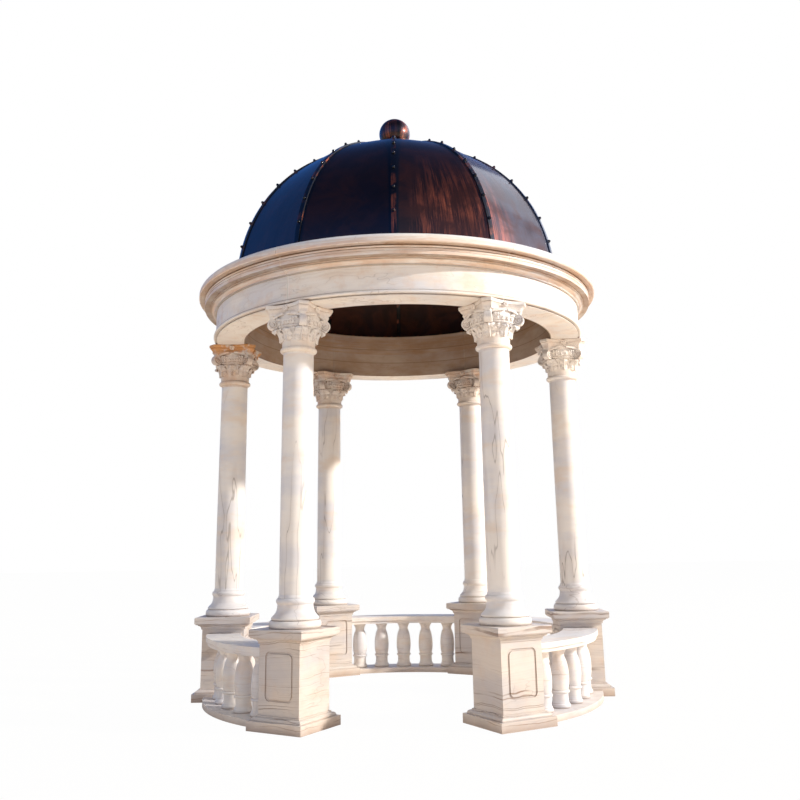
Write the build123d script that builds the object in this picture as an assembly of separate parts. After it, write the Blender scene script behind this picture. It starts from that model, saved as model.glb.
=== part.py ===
from build123d import *
import math
import os

# Round marble gazebo on six columns, with curved balustrades in five bays,
# an open entry bay, a moulded stone ring and a ribbed copper dome.
# Millimetres, +Z up, origin at ground level on the vertical centre line.
# The entry bay faces -Y.

# Plan
bay_count = 6
bay_angle = 360.0 / bay_count
column_circle_radius = 1700.0
entry_angle = 270.0
column_names = {
    "front_left": 240.0,
    "front_right": 300.0,
    "right": 0.0,
    "back_right": 60.0,
    "back_left": 120.0,
    "left": 180.0,
}
bay_names = {
    "near_right": 330.0,
    "far_right": 30.0,
    "back": 90.0,
    "far_left": 150.0,
    "near_left": 210.0,
}

# Pedestal
pedestal_height = 751.0
plinth_width = 530.0
plinth_height = 73.0
foot_step_reach = 40.0
foot_step_height = 28.0
step_inset = 12.0
dado_width = 398.0
dado_foot = 112.0
dado_top = 641.0
cap_width = 525.0
cap_thickness = 57.0
cap_cove_reach = 36.0
cap_cove_height = 26.0
cap_fillet = 9.0
edge_chamfer = 6.0
panel_width = 276.0
panel_foot = 216.0
panel_top = 585.0
panel_depth = 9.0
panel_groove = 18.0
panel_corner = 42.0

# Column
base_height = 232.0
base_torus_radius = 213.0
base_torus_height = 70.0
base_torus_round = 14.0
base_groove = 9.0
base_neck_radius = 146.0
base_bell_height = 46.0
base_bell_reach = 16.0
base_ring_radius = 157.0
base_ring_height = 46.0
shaft_foot_radius = 134.0
shaft_top_radius = 131.0
shaft_swell = 2.0
shaft_flare = 7.0
shaft_flare_height = 26.0
column_height = 2674.0
capital_height = 425.0
necking_radius = 161.0
necking_height = 46.0

# Capital
bell_foot_radius = 143.0
bell_lip_radius = 184.0
band_radius = 200.0
band_foot = 238.0
band_height = 62.0
abacus_half_width = 238.0
abacus_corner_cut = 60.0
abacus_hollow = 42.0
abacus_thickness = 62.0
abacus_lower = 22.0
abacus_fillet = 10.0
scroll_radius = 61.0
scroll_width = 66.0
scroll_drop = 30.0
scroll_setback = 9.0
scroll_groove = 7.0
leaf_foot = 62.0
corner_leaf_width = 136.0
corner_leaf_height = 138.0
corner_leaf_reach = 58.0
face_leaf_width = 92.0
face_leaf_height = 112.0
face_leaf_reach = 40.0
leaf_lip = 15.0
leaf_thickness = 7.0
rosette_radius = 27.0

# Stone ring over the columns
ring_inner_reach = 120.0
ring_thickness = 287.0
frieze_course_height = 265.0
cornice_course_height = 230.0
soffit_fillet = 8.0
soffit_edge_inset = 10.0
foot_groove = 6.0
foot_bead_height = 26.0
foot_bead_reach = 22.0
foot_fillet = 7.0
foot_fillet_reach = 12.0
bed_reach = 21.0
bed_height = 14.0
cove_reach = 64.0
cove_height = 24.0
quirk_height = 4.0
quirk_depth = 9.0
drip_fillet = 12.0
corona_reach = 118.0
corona_height = 56.0
corona_line = 4.0
groove_height = 6.0
groove_depth = 16.0
bead_height = 20.0
bead_reach = 19.0
crown_reach = 178.0
crown_chamfer = 8.0
crown_face = 34.0
crown_bulge = 22.0
crown_top_inset = 67.0
stone_joint = 3.0

# Balustrade
rail_outer_reach = 158.0
rail_inner_reach = 160.0
rail_top = 602.0
rail_slab_thickness = 42.0
rail_thickness = 74.0
rail_fillet_inset = 16.0
base_rail_outer_reach = 172.0
base_rail_inner_reach = 170.0
base_rail_height = 50.0
balusters_per_bay = 5
baluster_pitch_angle = 8.6
baluster_foot_radius = 83.0
baluster_foot_height = 32.0
baluster_cup_radius = 67.0
baluster_ring_radius = 80.0
baluster_ring_height = 24.0
baluster_ring_level = 128.0
baluster_belly_radius = 79.0
baluster_belly_level = 200.0
baluster_neck_radius = 57.0
baluster_neck_level = 388.0
baluster_head_radius = 68.0
baluster_head_height = 26.0

# Dome
dome_setback = 178.0
dome_centre_drop = 79.0
gore_count = 12
sheet_thickness = 16.0
seam_width = 46.0
seam_proud = 9.0
seam_depth = 34.0
foot_ring_width = 150.0
foot_ring_height = 24.0
foot_ring_proud = 8.0
crown_radius = 235.0
crown_lap = 0.9
crown_neck_radius = 62.0
crown_neck_height = 102.0
crown_neck_flare = 30.0
crown_swell = 4.0
ball_radius = 170.0
ball_seat = 8.0

# Heights and radii that follow from the sizes above
soffit_height = pedestal_height + column_height
cornice_seat = soffit_height + frieze_course_height
cornice_top = cornice_seat + cornice_course_height
capital_seat = soffit_height - capital_height
shaft_foot = pedestal_height + base_height
ring_inner_radius = column_circle_radius - ring_inner_reach
frieze_radius = ring_inner_radius + ring_thickness
dome_radius = ring_inner_radius + dome_setback
dome_centre = cornice_top - dome_centre_drop
ball_centre = dome_centre + dome_radius + crown_neck_height + ball_radius * 0.91
gore_angle = 360.0 / gore_count


def column_place(angle):
    # frame on a column's axis at ground level, local +X pointing outward
    radians = math.radians(angle)
    spot = (column_circle_radius * math.cos(radians), column_circle_radius * math.sin(radians), 0)
    return Location(spot, (0, 0, angle))


def turned(outline):
    # revolve a closed half outline, drawn as radius and height, about the vertical axis
    return revolve(make_face(Plane.XZ * outline), axis=Axis.Z)


def lines(points):
    return [Line(start, end) for start, end in zip(points, points[1:])]


def square_block(half_outline, reach):
    # a moulded square block with mitred corners: one profile run along both directions
    half = extrude(make_face(Plane.XZ * Wire(half_outline)), amount=reach, both=True)
    prism = half + mirror(half, about=Plane.YZ)
    return prism & prism.rotate(Axis.Z, 90)


def pedestal():
    plinth = plinth_width / 2
    dado = dado_width / 2
    cap = cap_width / 2
    step = dado + foot_step_reach
    fillet = dado + step_inset
    step_top = plinth_height + foot_step_height
    cove = dado + cap_cove_reach
    cove_foot = dado_top + cap_fillet
    cove_top = cove_foot + cap_cove_height
    cap_foot = pedestal_height - cap_thickness
    soffit = cap_foot - cap_fillet
    outline = lines([(0, 0), (plinth, 0), (plinth, plinth_height), (step, plinth_height)])
    outline.append(ThreePointArc((step, plinth_height), (step - step_inset * 0.3, step_top - cap_fillet),
                                 (fillet, step_top)))
    outline += lines([(fillet, step_top), (fillet, dado_foot), (dado, dado_foot), (dado, dado_top),
                      (dado + cap_fillet, dado_top), (dado + cap_fillet, cove_foot)])
    outline.append(ThreePointArc((dado + cap_fillet, cove_foot), (dado + cap_cove_reach * 0.45,
                                                                  cove_top - cap_fillet),
                                 (cove, cove_top)))
    outline += lines([(cove, cove_top), (cove, soffit), (cap - cap_fillet, soffit), (cap - cap_fillet,
                                                                                     cap_foot),
                      (cap, cap_foot), (cap, pedestal_height - edge_chamfer), (cap - edge_chamfer,
                                                                               pedestal_height),
                      (0, pedestal_height), (0, 0)])
    block = square_block(outline, plinth)
    panel_height = panel_top - panel_foot
    panel_centre = (panel_top + panel_foot) / 2
    outer = RectangleRounded(panel_width, panel_height, panel_corner)
    inner = RectangleRounded(panel_width - 2 * panel_groove, panel_height - 2 * panel_groove,
                             panel_corner - panel_depth)
    for side in (1, -1):
        plane = Plane(origin=(side * dado, 0, panel_centre), x_dir=(0, 1, 0), z_dir=(side, 0, 0))
        block -= extrude(plane * (outer - inner), amount=-panel_depth)
    return block


def column_base():
    foot = pedestal_height
    torus = foot + base_torus_height
    seat = base_torus_radius - base_torus_round
    ring_foot = shaft_foot - base_ring_height
    lip = seat - base_groove / 2
    neck = lip - base_groove
    bell_top = ring_foot - base_groove
    outline = lines([(0, foot), (seat, foot)])
    outline.append(ThreePointArc((seat, foot), (base_torus_radius, foot + base_torus_height / 2),
                                 (seat, torus - base_groove)))
    outline += lines([(seat, torus - base_groove), (neck, torus - base_groove), (neck, torus), (lip, torus),
                      (lip, torus + base_groove)])
    outline.append(Spline((lip, torus + base_groove), (base_neck_radius + base_bell_reach,
                                                       torus + base_bell_height),
                          (base_neck_radius, bell_top), tangents=((-0.6, 1), (-0.05, 1))))
    outline += lines([(base_neck_radius, bell_top), (base_neck_radius, ring_foot)])
    outline.append(ThreePointArc((base_neck_radius, ring_foot), (base_ring_radius,
                                                                 ring_foot + base_ring_height / 2),
                                 (base_neck_radius, shaft_foot)))
    outline += lines([(base_neck_radius, shaft_foot), (0, shaft_foot), (0, foot)])
    return turned(Wire(outline))


def column_shaft():
    middle = (shaft_foot + capital_seat) / 2
    swell_radius = (shaft_foot_radius + shaft_top_radius) / 2 + shaft_swell
    flare = shaft_foot_radius + shaft_flare
    outline = lines([(0, shaft_foot), (flare, shaft_foot), (flare, shaft_foot + shaft_flare_height / 3),
                     (shaft_foot_radius, shaft_foot + shaft_flare_height)])
    outline.append(ThreePointArc((shaft_foot_radius, shaft_foot + shaft_flare_height), (swell_radius,
                                                                                        middle),
                                 (shaft_top_radius, capital_seat)))
    outline += lines([(shaft_top_radius, capital_seat), (0, capital_seat), (0, shaft_foot)])
    return turned(Wire(outline))


def capital_bell():
    # necking ring, bell, and the round band between the scrolls
    foot = capital_seat
    necking = foot + necking_height
    lip = soffit_height - abacus_thickness
    band = foot + band_foot
    outline = lines([(0, foot), (bell_foot_radius, foot)])
    outline.append(ThreePointArc((bell_foot_radius, foot), (necking_radius, foot + necking_height / 2),
                                 (bell_foot_radius, necking)))
    outline.append(Spline((bell_foot_radius, necking), (bell_foot_radius + leaf_thickness,
                                                        (necking + band) / 2),
                          (bell_lip_radius, band), tangents=((0, 1), (0.45, 1))))
    outline.append(ThreePointArc((bell_lip_radius, band), (band_radius, band + band_height / 2),
                                 (bell_lip_radius, band + band_height)))
    outline += lines([(bell_lip_radius, band + band_height), (bell_lip_radius, lip), (0, lip), (0, foot)])
    return turned(Wire(outline))


def abacus():
    # square slab with hollowed sides, cut corners and a stepped edge
    half = abacus_half_width
    corner = half - abacus_corner_cut
    edges = []
    for turn in range(4):
        start = Vector(half, -corner, 0).rotate(Axis.Z, 90 * turn)
        middle = Vector(half - abacus_hollow, 0, 0).rotate(Axis.Z, 90 * turn)
        end = Vector(half, corner, 0).rotate(Axis.Z, 90 * turn)
        following = Vector(half, -corner, 0).rotate(Axis.Z, 90 * (turn + 1))
        edges.append(ThreePointArc(start, middle, end))
        edges.append(Line(end, following))
    outline = make_face(Wire(edges))
    foot = soffit_height - abacus_thickness
    fillet_foot = foot + abacus_lower
    slab_foot = fillet_foot + abacus_fillet
    lower = extrude(Pos(0, 0, foot) * scale(outline, by=0.92), amount=abacus_lower)
    fillet = extrude(Pos(0, 0, fillet_foot) * scale(outline, by=0.96), amount=abacus_fillet)
    slab = extrude(Pos(0, 0, slab_foot) * outline, amount=soffit_height - slab_foot)
    return lower + fillet + slab


def corner_scroll():
    # a pair of volutes under one corner of the abacus, as one drum across the diagonal
    diagonal = (abacus_half_width * 2 - abacus_corner_cut) / math.sqrt(2)
    abacus_foot = soffit_height - abacus_thickness
    centre_height = abacus_foot - scroll_drop - scroll_radius
    centre_reach = diagonal - scroll_radius - scroll_setback
    plane = Plane(origin=(centre_reach, 0, centre_height), x_dir=(1, 0, 0), z_dir=(0, -1, 0))
    drum = extrude(plane * Circle(scroll_radius), amount=scroll_width / 2, both=True)
    coil = Circle(scroll_radius * 0.78) - Circle(scroll_radius * 0.78 - scroll_groove)
    eye = Circle(scroll_radius * 0.42) - Circle(scroll_radius * 0.42 - scroll_groove)
    for side in (1, -1):
        face_plane = Plane(origin=(centre_reach, -side * scroll_width / 2, centre_height),
                           x_dir=(1, 0, 0), z_dir=(0, -side, 0))
        drum -= extrude(face_plane * coil, amount=-scroll_groove)
        drum -= extrude(face_plane * eye, amount=-scroll_groove)
    inner = bell_foot_radius * 0.8
    web_top = abacus_foot + abacus_lower / 2
    neck = make_face(Plane.XZ * Polyline(
        (inner, centre_height - scroll_radius * 0.9),
        (centre_reach, centre_height - scroll_radius * 0.4),
        (centre_reach + scroll_radius * 0.55, centre_height + scroll_radius * 0.7),
        (centre_reach + scroll_radius * 0.55, web_top),
        (inner, web_top),
        close=True))
    web = extrude(neck, amount=scroll_width / 2 - 1.5 * scroll_groove, both=True)
    return (drum + web).rotate(Axis.Z, 45)


def leaf(width, height, reach):
    # a leaf that rises from the bell and rolls its tip outward and down
    foot = capital_seat + leaf_foot
    inner = bell_foot_radius * 0.9
    front = bell_foot_radius + leaf_thickness
    tip = bell_foot_radius + reach
    top = foot + height
    lip_foot = top - 2 * leaf_lip
    lip_inner = tip - 2 * leaf_lip
    outline = lines([(inner, foot), (front, foot)])
    outline.append(Spline((front, foot), (front + leaf_thickness, foot + height * 0.4), (lip_inner,
                                                                                         lip_foot - leaf_lip),
                          (tip - leaf_lip, lip_foot), tangents=((0, 1), (1, 0))))
    outline.append(ThreePointArc((tip - leaf_lip, lip_foot), (tip, top - leaf_lip), (tip - leaf_lip, top)))
    outline += lines([(tip - leaf_lip, top), (inner, top), (inner, foot)])
    blade = extrude(make_face(Plane.XZ * Wire(outline)), amount=width / 2, both=True)
    half = width / 2
    narrow = half * 0.55
    level = foot + height * 0.55
    front_view = Wire([
        Line((-narrow, foot), (narrow, foot)),
        Spline((narrow, foot), (half, level), (half * 0.55, top - leaf_lip / 2), (0, top)),
        Spline((0, top), (-half * 0.55, top - leaf_lip / 2), (-half, level), (-narrow, foot)),
    ])
    plane = Plane(origin=(0, 0, 0), x_dir=(0, 1, 0), z_dir=(1, 0, 0))
    return blade & extrude(plane * make_face(front_view), amount=tip + leaf_lip)


def capital():
    body = capital_bell() + abacus()
    scroll = corner_scroll()
    corner_leaf = leaf(corner_leaf_width, corner_leaf_height, corner_leaf_reach).rotate(Axis.Z, 45)
    face_leaf = leaf(face_leaf_width, face_leaf_height, face_leaf_reach)
    rosette = Pos(abacus_half_width - abacus_hollow, 0,
                  soffit_height - abacus_thickness / 2) * Sphere(rosette_radius)
    for turn in range(4):
        for piece in (scroll, corner_leaf, face_leaf, rosette):
            body += piece.rotate(Axis.Z, 90 * turn)
    return body


def ring_segment(outline, angle):
    # one stone of a ring: the profile turned through one bay, less the joint
    joint_angle = math.degrees(stone_joint / ring_inner_radius)
    face = make_face(Plane.XZ * outline)
    stone = revolve(face, axis=Axis.Z, revolution_arc=bay_angle - joint_angle)
    return stone.rotate(Axis.Z, angle + joint_angle / 2)


def frieze_outline():
    # from the soffit upward: fillet, groove, bead, fillet, plain face
    soffit_edge = frieze_radius - soffit_edge_inset
    groove = soffit_edge - foot_groove
    bead_foot = soffit_height + soffit_fillet + foot_groove
    bead_top = bead_foot + foot_bead_height
    fillet_top = bead_top + foot_fillet
    fillet = frieze_radius + foot_fillet_reach
    bead = frieze_radius + foot_bead_reach
    bead_seat = bead - foot_bead_height / 2
    outline = lines([(ring_inner_radius, soffit_height), (soffit_edge, soffit_height),
                     (soffit_edge, soffit_height + soffit_fillet), (groove, soffit_height + soffit_fillet),
                     (groove, bead_foot), (bead_seat, bead_foot)])
    outline.append(ThreePointArc((bead_seat, bead_foot), (bead, (bead_foot + bead_top) / 2),
                                 (bead_seat, bead_top)))
    outline += lines([(bead_seat, bead_top), (fillet, bead_top), (fillet, fillet_top), (frieze_radius,
                                                                                        fillet_top),
                      (frieze_radius, cornice_seat), (ring_inner_radius, cornice_seat),
                      (ring_inner_radius, soffit_height)])
    return Wire(outline)


def cornice_outline():
    # from the bed upward: fillet, cove, quirk, drip, lined corona, bead between two grooves, crown
    bed = frieze_radius + bed_reach
    cove = frieze_radius + cove_reach
    corona = frieze_radius + corona_reach
    crown = frieze_radius + crown_reach
    groove = corona - groove_depth
    bed_top = cornice_seat + bed_height
    cove_top = bed_top + cove_height
    quirk_top = cove_top + quirk_height
    corona_foot = quirk_top + drip_fillet
    corona_top = corona_foot + corona_height
    line_foot = (corona_foot + corona_top) / 2 + corona_line
    bead_foot = corona_top + groove_height
    bead_top = bead_foot + bead_height
    crown_foot = bead_top + groove_height
    face_foot = crown_foot + crown_chamfer
    face_top = face_foot + crown_face
    outline = lines([(ring_inner_radius, cornice_seat), (bed, cornice_seat), (bed, bed_top)])
    outline.append(ThreePointArc((bed, bed_top), (bed + (cove - bed) * 0.25, cove_top - quirk_depth),
                                 (cove - quirk_depth, cove_top)))
    outline += lines([(cove - quirk_depth, cove_top), (cove - quirk_depth, quirk_top), (cove, quirk_top),
                      (cove, corona_foot), (corona, corona_foot), (corona, line_foot),
                      (corona - corona_line, line_foot), (corona - corona_line, line_foot + corona_line),
                      (corona, line_foot + corona_line), (corona, corona_top), (groove, corona_top),
                      (groove, bead_foot)])
    outline.append(ThreePointArc((groove, bead_foot), (groove + bead_reach, (bead_foot + bead_top) / 2),
                                 (groove, bead_top)))
    outline += lines([(groove, bead_top), (groove, crown_foot), (crown - crown_chamfer, crown_foot),
                      (crown, face_foot), (crown, face_top)])
    outline.append(ThreePointArc((crown, face_top), (crown - crown_bulge, (face_top + cornice_top * 3) / 4),
                                 (crown - crown_top_inset, cornice_top)))
    outline += lines([(crown - crown_top_inset, cornice_top), (ring_inner_radius, cornice_top),
                      (ring_inner_radius, cornice_seat)])
    return Wire(outline)


def arc_slab(inner, outer, foot, height, bay_centre):
    # a curved slab across one bay, as long as the clear width between the pedestals
    half_sweep = bay_angle / 2
    ring = Pos(0, 0, foot) * (Cylinder(outer, height, align=(Align.CENTER, Align.CENTER, Align.MIN))
                              - Cylinder(inner, height, align=(Align.CENTER, Align.CENTER, Align.MIN)))
    wedge_reach = outer * 2
    points = [(0, 0)]
    for side in (-1, 1):
        radians = math.radians(half_sweep * side)
        points.append((wedge_reach * math.cos(radians), wedge_reach * math.sin(radians)))
    wedge = Pos(0, 0, foot) * extrude(make_face(Polyline(*points, close=True)), amount=height)
    return (ring & wedge).rotate(Axis.Z, bay_centre)


def trim_to_pedestals(rail, bay_centre, clear_width):
    # the rail butts against the side faces of the two pedestals at its ends
    for side in (-1, 1):
        block = Box(column_circle_radius, clear_width, 2 * pedestal_height)
        rail -= column_place(bay_centre + side * bay_angle / 2) * block
    return rail


def hand_rail(bay_centre):
    inner = column_circle_radius - rail_inner_reach
    outer = column_circle_radius + rail_outer_reach
    slab = arc_slab(inner, outer, rail_top - rail_slab_thickness, rail_slab_thickness, bay_centre)
    under = arc_slab(inner + rail_fillet_inset, outer - rail_fillet_inset, rail_top - rail_thickness,
                     rail_thickness - rail_slab_thickness, bay_centre)
    return trim_to_pedestals(slab + under, bay_centre, dado_width)


def base_rail(bay_centre):
    slab = arc_slab(column_circle_radius - base_rail_inner_reach,
                    column_circle_radius + base_rail_outer_reach,
                    0, base_rail_height, bay_centre)
    return trim_to_pedestals(slab, bay_centre, plinth_width)


def baluster():
    # foot disc, hollow cup, ring, belly, long neck and flared head
    foot = base_rail_height
    head = rail_top - rail_thickness
    head_foot = head - baluster_head_height
    foot_top = foot + baluster_foot_height
    ring = foot + baluster_ring_level
    belly = foot + baluster_belly_level
    neck = foot + baluster_neck_level
    half_ring = baluster_ring_height / 2
    shoulder = (baluster_cup_radius + baluster_belly_radius) / 2
    outline = lines([(0, foot), (baluster_foot_radius - edge_chamfer, foot)])
    outline.append(ThreePointArc((baluster_foot_radius - edge_chamfer, foot),
                                 (baluster_foot_radius, foot + baluster_foot_height / 2),
                                 (baluster_foot_radius - edge_chamfer, foot_top)))
    outline.append(Spline((baluster_foot_radius - edge_chamfer, foot_top),
                          (baluster_cup_radius, (foot_top + ring) / 2), (baluster_cup_radius,
                                                                         ring - half_ring),
                          tangents=((-0.8, 1), (0, 1))))
    outline.append(ThreePointArc((baluster_cup_radius, ring - half_ring), (baluster_ring_radius, ring),
                                 (baluster_cup_radius, ring + half_ring)))
    outline.append(Spline((baluster_cup_radius, ring + half_ring), (shoulder,
                                                                    (ring + half_ring + belly) / 2 - half_ring),
                          (baluster_belly_radius, belly), (baluster_neck_radius, neck),
                          (baluster_head_radius - edge_chamfer, head_foot), tangents=((0.6, 1), (0.5, 1))))
    outline += lines([(baluster_head_radius - edge_chamfer, head_foot), (baluster_head_radius,
                                                                         head_foot + edge_chamfer),
                      (baluster_head_radius, head), (0, head), (0, foot)])
    return turned(Wire(outline))


def bay_balusters(bay_centre):
    single = baluster()
    pieces = []
    for index in range(balusters_per_bay):
        angle = bay_centre + (index - (balusters_per_bay - 1) / 2) * baluster_pitch_angle
        pieces.append(column_place(angle) * single)
    return Compound(children=pieces)


def dome_rib():
    # one seam strip, lying on its meridian from the foot ring to the crown
    outer = dome_radius + seam_proud
    inner = dome_radius - seam_depth
    foot = cornice_top + foot_ring_height
    start_outer = math.asin((foot - dome_centre) / outer)
    start_inner = math.asin((foot - dome_centre) / inner)
    end_outer = math.acos(crown_radius / outer)
    end_inner = math.acos(crown_radius / inner)

    def spot(radius, turn):
        return (radius * math.cos(turn), dome_centre + radius * math.sin(turn))

    outer_start = spot(outer, start_outer)
    outer_end = spot(outer, end_outer)
    inner_start = spot(inner, start_inner)
    inner_end = spot(inner, end_inner)
    profile = Wire([
        ThreePointArc(outer_start, spot(outer, (start_outer + end_outer) / 2), outer_end),
        Line(outer_end, inner_end),
        ThreePointArc(inner_end, spot(inner, (start_inner + end_inner) / 2), inner_start),
        Line(inner_start, outer_start),
    ])
    return extrude(make_face(Plane.XZ * profile), amount=seam_width / 2, both=True)


def dome_gore():
    # one panel, curved only along its meridian, flat across between two seams
    half_gore = math.radians(gore_angle / 2)
    squeeze = math.cos(half_gore)
    foot = cornice_top + foot_ring_height

    def gore_arc(radius):
        start = math.degrees(math.asin((foot - dome_centre) / radius))
        end = math.degrees(math.acos(crown_radius * crown_lap / radius))
        return EllipticalCenterArc((0, dome_centre), radius * squeeze, radius,
                                   start_angle=start, arc_size=end - start)

    outer_arc = gore_arc(dome_radius)
    inner_arc = gore_arc(dome_radius - sheet_thickness)
    profile = Wire([
        outer_arc,
        Line(outer_arc @ 1, inner_arc @ 1),
        inner_arc,
        Line(inner_arc @ 0, outer_arc @ 0),
    ])
    barrel = extrude(make_face(Plane.XZ * profile), amount=dome_radius * math.tan(half_gore), both=True)
    # the gore ends at the sides of the two seam strips
    seam_gap = seam_width / 2 / math.sin(half_gore)
    far = dome_radius * 1.2
    outline = Polyline(
        (seam_gap, 0),
        (seam_gap + far, far * math.tan(half_gore)),
        (seam_gap + far, -far * math.tan(half_gore)),
        close=True)
    wedge = Pos(0, 0, cornice_top) * extrude(make_face(outline), amount=far)
    crown_space = Pos(0, 0, cornice_top) * Cylinder(crown_radius, 2 * dome_radius)
    return (barrel & wedge) - crown_space


def foot_ring():
    outer = dome_radius + seam_proud + foot_ring_proud
    inner = outer - foot_ring_width
    top = cornice_top + foot_ring_height
    return turned(Wire(lines([
        (inner, cornice_top), (outer, cornice_top), (outer, top - foot_ring_proud),
            (outer - foot_ring_proud, top),
        (inner, top), (inner, cornice_top)])))


def crown_height(radius, reach):
    return dome_centre + math.sqrt(radius * radius - reach * reach)


def dome_crown():
    # a shallow cap over the ends of the seams, with the neck that carries the ball
    outer = dome_radius + seam_proud
    rim_top = crown_height(outer, crown_radius)
    rim_foot = crown_height(dome_radius - seam_depth, crown_radius)
    flare = crown_neck_radius + crown_neck_flare
    halfway = (crown_radius + flare) / 2
    neck_foot = crown_height(outer, flare) + crown_swell
    neck_start = neck_foot + crown_neck_flare
    neck_top = ball_centre - math.sqrt(ball_radius ** 2 - crown_neck_radius ** 2) + ball_seat
    outline = lines([(0, rim_foot), (crown_radius, rim_foot), (crown_radius, rim_top)])
    outline.append(ThreePointArc((crown_radius, rim_top), (halfway, crown_height(outer,
                                                                                 halfway) + crown_swell),
                                 (flare, neck_foot)))
    outline.append(ThreePointArc((flare, neck_foot),
                                 (crown_neck_radius + crown_neck_flare * 0.3,
                                  neck_foot + crown_neck_flare * 0.3),
                                 (crown_neck_radius, neck_start)))
    outline += lines([(crown_neck_radius, neck_start), (crown_neck_radius, neck_top), (0, neck_top),
                      (0, rim_foot)])
    return turned(Wire(outline)) - Pos(0, 0, ball_centre) * Sphere(ball_radius)


def ball_finial():
    return Pos(0, 0, ball_centre) * Sphere(ball_radius)


def around(piece, count):
    return Compound(children=[piece.rotate(Axis.Z, 360 / count * index) for index in range(count)])


def save(name, shape):
    export_step(shape, f"parts/{name}.step")
    print(name, "written")


os.makedirs("parts", exist_ok=True)

pedestal_solid = pedestal()
base_solid = column_base()
shaft_solid = column_shaft()
capital_solid = capital()
bases = []
for name, angle in column_names.items():
    place = column_place(angle)
    save(f"pedestal_{name}", place * pedestal_solid)
    save(f"column_shaft_{name}", place * shaft_solid)
    save(f"capital_{name}", place * capital_solid)
    bases.append(place * base_solid)
save("column_bases", Compound(children=bases))

stone_names = ["front", "near_right", "far_right", "back", "far_left", "near_left"]
for index, name in enumerate(stone_names):
    start = entry_angle - bay_angle / 2 + index * bay_angle
    save(f"frieze_{name}", ring_segment(frieze_outline(), start))
    save(f"cornice_{name}", ring_segment(cornice_outline(), start))

base_rails = []
for name, bay_centre in bay_names.items():
    save(f"hand_rail_{name}", hand_rail(bay_centre))
    save(f"balusters_{name}", bay_balusters(bay_centre))
    base_rails.append(base_rail(bay_centre))
save("base_rails", Compound(children=base_rails))

save("dome_foot_ring", foot_ring())
save("dome_seams", around(dome_rib(), gore_count))
save("dome_panels", around(dome_gore().rotate(Axis.Z, gore_angle / 2), gore_count))
save("dome_crown", dome_crown())
save("ball_finial", ball_finial())
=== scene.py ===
import math
import bmesh
import bpy
import numpy as np
from mathutils import Matrix, Vector


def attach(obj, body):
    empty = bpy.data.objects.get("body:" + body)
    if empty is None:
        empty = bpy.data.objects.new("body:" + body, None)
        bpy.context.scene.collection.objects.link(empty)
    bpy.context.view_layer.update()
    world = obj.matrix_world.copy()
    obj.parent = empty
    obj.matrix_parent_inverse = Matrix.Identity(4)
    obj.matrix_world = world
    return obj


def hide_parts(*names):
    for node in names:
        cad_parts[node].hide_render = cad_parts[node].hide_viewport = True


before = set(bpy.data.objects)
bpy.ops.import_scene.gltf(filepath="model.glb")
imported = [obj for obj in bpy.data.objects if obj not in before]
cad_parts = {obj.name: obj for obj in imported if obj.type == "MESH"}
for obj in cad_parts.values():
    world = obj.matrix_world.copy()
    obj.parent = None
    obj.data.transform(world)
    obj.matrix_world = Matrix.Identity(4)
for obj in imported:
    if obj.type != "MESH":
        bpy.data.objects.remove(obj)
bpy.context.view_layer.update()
print("frame loaded,", len(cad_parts), "nodes")

# The pavilion stands on its own centre line, entry bay towards -Y, metres
plan = {
    "bays": 6,
    "columnRing": 1.70,
    "columnAngles": {"front_left": 240, "front_right": 300, "right": 0,
                     "back_right": 60, "back_left": 120, "left": 180},
    "gores": 12,
}
bayNames = ["near_right", "far_right", "back", "far_left", "near_left"]
stoneNames = ["front"] + bayNames


def polar(radius, degrees, height=0.0):
    turn = math.radians(degrees)
    return Vector((radius * math.cos(turn), radius * math.sin(turn), height))


# A socket that takes part in sums, so that 1 - mask and wear * 0.4 add Math nodes
class Link:
    def __init__(self, tree, socket):
        self.tree = tree
        self.socket = socket

    def sum(self, operation, *terms):
        node = self.tree.nodes.new("ShaderNodeMath")
        node.operation = operation
        for slot, term in zip(node.inputs, terms):
            plug(self.tree, slot, term)
        return Link(self.tree, node.outputs[0])

    def __add__(self, other):
        return self.sum("ADD", self, other)

    def __radd__(self, other):
        return self.sum("ADD", other, self)

    def __sub__(self, other):
        return self.sum("SUBTRACT", self, other)

    def __rsub__(self, other):
        return self.sum("SUBTRACT", other, self)

    def __mul__(self, other):
        return self.sum("MULTIPLY", self, other)

    def __rmul__(self, other):
        return self.sum("MULTIPLY", other, self)

    def __pow__(self, other):
        return self.sum("POWER", self, other)

    def __abs__(self):
        return self.sum("ABSOLUTE", self)


def plug(tree, slot, term):
    if isinstance(term, Link):
        tree.links.new(term.socket, slot)
    else:
        slot.default_value = term


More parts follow.
